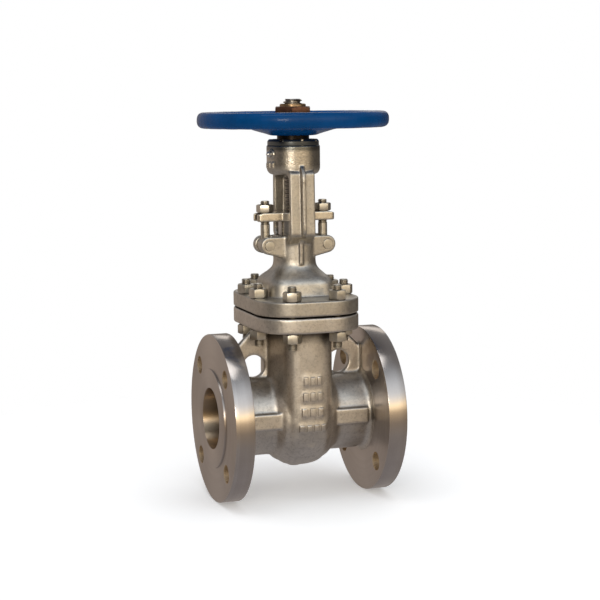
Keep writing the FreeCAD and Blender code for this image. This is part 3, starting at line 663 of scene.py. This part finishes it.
def raised_block(points, faces, origin, along, up, length, height, proud):
    """A low plain block with rounded edges, to be laid on the casting's skin; its border sinks below it."""
    columns, rows = 13, 15
    rounding, sunk = 0.7, 0.3
    start = len(points)
    for j in range(rows):
        for i in range(columns):
            u, v = i / (columns - 1) * 2 - 1, j / (rows - 1) * 2 - 1
            edge = min((1 - abs(u)) * length, (1 - abs(v)) * height) / 2
            lift = proud * min(1.0, edge / rounding) ** 0.6 - sunk * (edge < 1e-6)
            points.append((origin + along * (u * length / 2) + up * (v * height / 2), lift))
    for j in range(rows - 1):
        for i in range(columns - 1):
            a = start + j * columns + i
            faces.append((a, a + 1, a + 1 + columns, a + columns))


def laid_on(skin, points, faces, outward):
    """Drops each point on to the skin, lifts it by its own height, and closes the blocks underneath."""
    clear = 30
    placed = []
    for point, lift in points:
        out = outward(point)
        hit = skin.ray_cast((point + out * clear) * MM, -out)[0]
        placed.append(hit + out * lift * MM)
    mesh = mesh_from("work", placed, faces)
    bm = bmesh.new()
    bm.from_mesh(mesh)
    bpy.data.meshes.remove(mesh)
    bmesh.ops.holes_fill(bm, edges=bm.edges)
    bmesh.ops.recalc_face_normals(bm, faces=bm.faces)
    return bm


# rows of plain blocks where the size and rating are cast: (lowest z, highest z, half width, blocks)
MARK_ROWS = [(38.0, 48.0, 11.0, 3), (21.5, 31.5, 12.0, 3), (5.0, 15.0, 13.5, 3), (-11.5, -3.0, 16.0, 4)]
MARK_PROUD = 1.25
MARK_SHARP_DEG = 60


def make_body_marks(skin):
    """Rows of plain blocks on the front of the chamber."""
    points, faces = [], []
    for low, high, half, count in MARK_ROWS:
        pitch = 2 * half / count
        for i in range(count):
            x = -half + (i + 0.5) * pitch
            centre = Vector((x, -60, (low + high) / 2))
            raised_block(points, faces, centre, Vector((1, 0, 0)), Vector((0, 0, 1)), 0.74 * pitch,
                         high - low - 0.4, MARK_PROUD)
    front = Vector((0, -1, 0))
    blocks = laid_on(skin, points, faces, lambda p: front)
    piece("body_marks", blocks, CAST, "valve", ["body"], MARK_SHARP_DEG)


# ---- bonnet -------------------------------------------------------------------------------------
# millimetres, and degrees for the turns
DRAFT = 2.4                  # how far the dome flares out at its foot
DRAFT_Z = (127.0, 149.0)     # the joint's top, and the height where the flare starts
DRAFT_FALL = 18.0            # the flare is full this far below its start
DOME_HALF = (36.0, 39.0)     # the dome lies within this half width and half depth
DOME_WALL_R = 27.0           # what lies nearer the stem is left alone
HUB_MARK_TURNS = (181, 192, 203)
HUB_MARK_R = 28
HUB_MARK_Z = 264.8
HUB_MARK_SIZE = (3.8, 6.6, 0.6)


def bonnet_weight(p):
    """How far each point of the bonnet casting is softened."""
    x, y, z = np.abs(p[:, 0]), np.abs(p[:, 1]), p[:, 2]
    joint = band(z, 100, 127.9, 1.5)
    arms = band(z, 193, 262, 6) * band(y, 22, 60, 3)
    ears = band(x, 19, 60, 3) * band(z, 165, 195, 3)
    hub = band(z, 264, 300, 5)
    ribs = band(z, 157, 185, 6) * band(x, 0, 3, 1) * band(y, 23, 40, 1)
    return (1 - 0.80 * joint) * (1 - 0.72 * arms) * (1 - 0.6 * ears) * (1 - 0.7 * hub) * (1 - 0.6 * ribs)


def flare_dome(mesh):
    """Gives the hood's low wall the outward draft of a casting, widest at the joint."""
    points = mesh_points(mesh)
    x, y, z = (points / MM).T
    inside = (np.abs(x) < DOME_HALF[0]) & (np.abs(y) < DOME_HALF[1])
    wall = inside & (np.hypot(x, y) > DOME_WALL_R)
    falling = np.clip((DRAFT_Z[1] - z) / DRAFT_FALL, 0, 1) ** 1.3
    draft = DRAFT * falling * np.clip((z - DRAFT_Z[0]) / 1.5, 0, 1) * wall
    reach = np.maximum(np.hypot(x, y), 1.0)
    points[:, 0] += draft * x / reach * MM
    points[:, 1] += draft * y / reach * MM
    mesh.vertices.foreach_set("co", points.ravel())
    mesh.update()


def make_bonnet():
    """Bonnet casting, with three plain blocks on the side of the yoke hub."""
    mesh = casting("bonnet", bonnet_weight, voxel=0.8 * MM, rounds=16)
    flare_dome(mesh)
    bm = bmesh.new()
    bm.from_mesh(mesh)
    skin = BVHTree.FromBMesh(bm)
    bm.free()
    piece("bonnet_casting", mesh, HOOD, "valve", ["bonnet"])
    points, faces = [], []
    for turn in HUB_MARK_TURNS:
        out = Vector((math.cos(math.radians(turn)), math.sin(math.radians(turn)), 0))
        along = Vector((-out.y, out.x, 0))
        centre = out * HUB_MARK_R + Vector((0, 0, HUB_MARK_Z))
        raised_block(points, faces, centre, along, Vector((0, 0, 1)), *HUB_MARK_SIZE)
    blocks = laid_on(skin, points, faces, lambda p: Vector((p.x, p.y, 0)).normalized())
    piece("bonnet_marks", blocks, HOOD, "valve", ["bonnet"], MARK_SHARP_DEG)


def wheel_weight(p):
    """The wheel's machined eye stays crisp."""
    r = np.hypot(p[:, 0], p[:, 1])
    return 1 - 0.9 * band(r, 0, 16, 1.5)


def make_handwheel():
    mesh = casting("handwheel", wheel_weight, voxel=0.9 * MM, rounds=26, waves=0.00012)
    piece("handwheel_casting", mesh, ENAMEL, "wheel", ["handwheel"])


# ---- threads ------------------------------------------------------------------------------------
def threaded_rod(radius, depth, pitch, z0, z1, left_hand=False, flat=0.12, sides=28, chamfer=0.6,
                 bottom=True):
    """A rod with a real helical thread, closed and chamfered at its ends. Millimetres, on the Z axis."""
    crest = 0.5 - flat
    profile = [(0.0, 0.0), (crest - flat, 0.0), (crest + flat * 0.4, depth), (1 - 2.2 * flat, depth)]
    end_radius, end_slope = radius - chamfer * 1.6, 1.2
    turns = int((z1 - z0) / pitch) + 4
    start = z0 - 2 * pitch
    hand = -1 if left_hand else 1
    per_turn = len(profile)
    rows = turns * per_turn
    bm = bmesh.new()
    grid = []
    for i in range(sides):
        angle = 2 * math.pi * i / sides
        column = []
        for k in range(rows):
            at, drop = profile[k % per_turn]
            z = start + pitch * (k // per_turn + at + hand * i / sides)
            r = min(radius - drop, end_radius + max(0.0, z1 - z) * end_slope)
            if bottom:
                r = min(r, end_radius + max(0.0, z - z0) * end_slope)
            column.append(bm.verts.new((r * math.cos(angle) * MM, r * math.sin(angle) * MM, z * MM)))
        grid.append(column)
    for i in range(sides):
        j = (i + 1) % sides
        shift = hand * per_turn if j == 0 else 0
        for k in range(rows - 1):
            low, high = k + shift, k + 1 + shift
            if low >= 0 and high < rows:
                bm.faces.new((grid[i][k], grid[j][low], grid[j][high], grid[i][k + 1]))
    loose = [v for v in bm.verts if not v.link_faces]
    bmesh.ops.delete(bm, geom=loose, context="VERTS")
    cut(bm, (0, 0, z1 * MM), (0, 0, 1))
    cut(bm, (0, 0, z0 * MM), (0, 0, -1))
    bmesh.ops.recalc_face_normals(bm, faces=bm.faces)
    return bm


def append(target, source, offset=(0, 0, 0)):
    """Copies one bmesh into another, moved."""
    mesh = bpy.data.meshes.new("work")
    source.to_mesh(mesh)
    mesh.transform(Matrix.Translation(Vector(offset) * MM))
    target.from_mesh(mesh)
    bpy.data.meshes.remove(mesh)


STUDS = [(sx * x, sy * y) for x, y in ((24.5, 65.0), (47.3, 22.0)) for sx in (-1, 1) for sy in (-1, 1)]
STUD_Z = (78, 144)
STEM_THREAD_Z = (196.0, 334)
EYEBOLT_X = 32.0
EYEBOLT_THREAD_Z = (203.0, 228.0)
# radius, depth and pitch of a thread
FINE_THREAD = (4.9, 0.75, 1.5)
STEM_THREAD = (10.0, 2.2, 4.0)


def make_threads():
    """Studs, stem and eyebolts with helical threads in place of plain or grooved ones."""
    stud = threaded_rod(*FINE_THREAD, *STUD_Z)
    studs = bmesh.new()
    for x, y in STUDS:
        append(studs, stud, (x, y, 0))
    stud.free()
    piece("bonnet_studs_threaded", studs, BOLT, "valve", ["bonnet_studs"], 35)
    stem = node_bmesh("stem")
    cut(stem, (0, 0, STEM_THREAD_Z[0] * MM), (0, 0, 1))
    thread = threaded_rod(*STEM_THREAD, *STEM_THREAD_Z, left_hand=True, flat=0.14, sides=56, chamfer=1.2,
                          bottom=False)
    append(stem, thread)
    thread.free()
    piece("stem_threaded", stem, THREAD, "stem", ["stem"], 30)
    for name, side in (("left", -1), ("right", 1)):
        eyebolt = node_bmesh(f"eyebolt_{name}")
        cut(eyebolt, (0, 0, EYEBOLT_THREAD_Z[0] * MM), (0, 0, 1))
        thread = threaded_rod(*FINE_THREAD, *EYEBOLT_THREAD_Z, bottom=False)
        append(eyebolt, thread, (side * EYEBOLT_X, 0, 0))
        thread.free()
        piece(f"eyebolt_{name}_threaded", eyebolt, BOLT, f"eyebolt_{name}", [f"eyebolt_{name}"],
              35)


# ---- small parts --------------------------------------------------------------------------------
CORNER_DEG = 40
SHARP_DEG = 32


def dressed(node, material, body, width=0.35):
    """A copy of a CAD node with its corners broken."""
    bm = node_bmesh(node)
    bmesh.ops.dissolve_limit(bm, angle_limit=math.radians(0.5), verts=bm.verts, edges=bm.edges)
    mesh = evaluated(bm, ("BEVEL", {"width": width * MM, "segments": 2, "limit_method": "ANGLE",
                                    "angle_limit": math.radians(CORNER_DEG)}))
    piece(f"{node}_dressed", mesh, material, body, [node], SHARP_DEG)


def make_small_parts():
    """Fasteners, gland plate and rings; the nodes in plain keep their own mesh."""
    dressed("bonnet_nuts_upper", BOLT, "valve")
    dressed("bonnet_nuts_lower", BOLT, "valve")
    dressed("yoke_nut", OILY_AND_SHADED, "valve")
    dressed("stem_nut", BRONZE, "wheel")
    dressed("handwheel_nut", BROWN, "wheel", 0.5)
    for side in ("left", "right"):
        dressed(f"gland_nut_{side}", BOLT, f"eyebolt_{side}")
        dressed(f"clevis_pin_{side}", BOLT, "valve")
    mesh = casting("gland_flange", lambda p: np.ones(len(p)), voxel=0.55 * MM, rounds=8, waves=0.00005)
    piece("gland_flange_casting", mesh, GLAND, "valve", ["gland_flange"])
    plain = {"seat_ring_left": RIM, "seat_ring_right": RIM, "wedge": CAST, "gland_follower": BAR,
             "backseat_bushing": BAR, "packing_washer": BAR, "body_gasket": GRAPHITE,
             "packing_ring_1": GRAPHITE, "packing_ring_2": GRAPHITE, "packing_ring_3": GRAPHITE,
             "grease_nipple": ZINC, "yoke_set_screw": BOLT, "wheel_key": BOLT}
    for node, material in plain.items():
        for slot in NODES[node].material_slots:
            slot.material = material


FLOOR_R = 0.64
FLOOR_FADE = (0.16, 0.62)


def make_floor():
    """Plain pale floor that fades out into the white background, with a painted contact shadow; it keeps its
    shine off the metal.
    """
    material, tree, shader = new_material("floor")
    coords = object_coords(tree)
    tone = mix_node(tree, noise_node(tree, coords, 6.0, 3.0, 0.5), (0.88, 0.88, 0.88), (0.91, 0.91, 0.91))
    tree.links.new(tone, shader.inputs["Base Color"])
    shader.inputs["Roughness"].default_value = 0.9
    tree.links.new(tone, shader.inputs["Emission Color"])
    # painted contact shadow: the glow dims where the valve hems the floor in
    glow_with_painted_shadow = range_node(tree, occlusion_node(tree, 0.16, 12), 0.35, 1.0, 0.30, 0.66)
    tree.links.new(glow_with_painted_shadow, shader.inputs["Emission Strength"])
    radius, _ = radius_node(tree, coords, "Z")
    tree.links.new(range_node(tree, radius, *FLOOR_FADE, 1.0, 0.0), shader.inputs["Alpha"])
    bm = bmesh.new()
    bmesh.ops.create_circle(bm, cap_ends=True, segments=96, radius=FLOOR_R)
    mesh = bpy.data.meshes.new("floor")
    bm.to_mesh(mesh)
    bm.free()
    mesh.materials.append(material)
    floor = bpy.data.objects.new("floor", mesh)
    floor.location = (0, 0, cad_box[0][2])
    floor.visible_glossy = False
    bpy.context.scene.collection.objects.link(floor)


def make_lights():
    """Warm key at the front left, cool light overhead, a weak one behind."""
    centre = (0, 0, 0.12)
    area_light("key", (-1.00, -1.83, 0.58), centre, (0.5, 0.4), 7.5, (1.0, 0.94, 0.84))
    area_light("top", (-0.3, -0.4, 1.9), centre, (1.2, 0.8), 6.0, (0.92, 0.96, 1.0))
    area_light("back", (0.62, 1.45, 0.85), centre, (0.9, 0.5), 1.2, (1.0, 0.96, 0.90))


make_camera()
make_world()
make_lights()
make_floor()
skin = make_body()
make_body_marks(skin)
make_bonnet()
make_handwheel()
make_threads()
make_small_parts()
bpy.context.scene.view_settings.view_transform = "Standard"
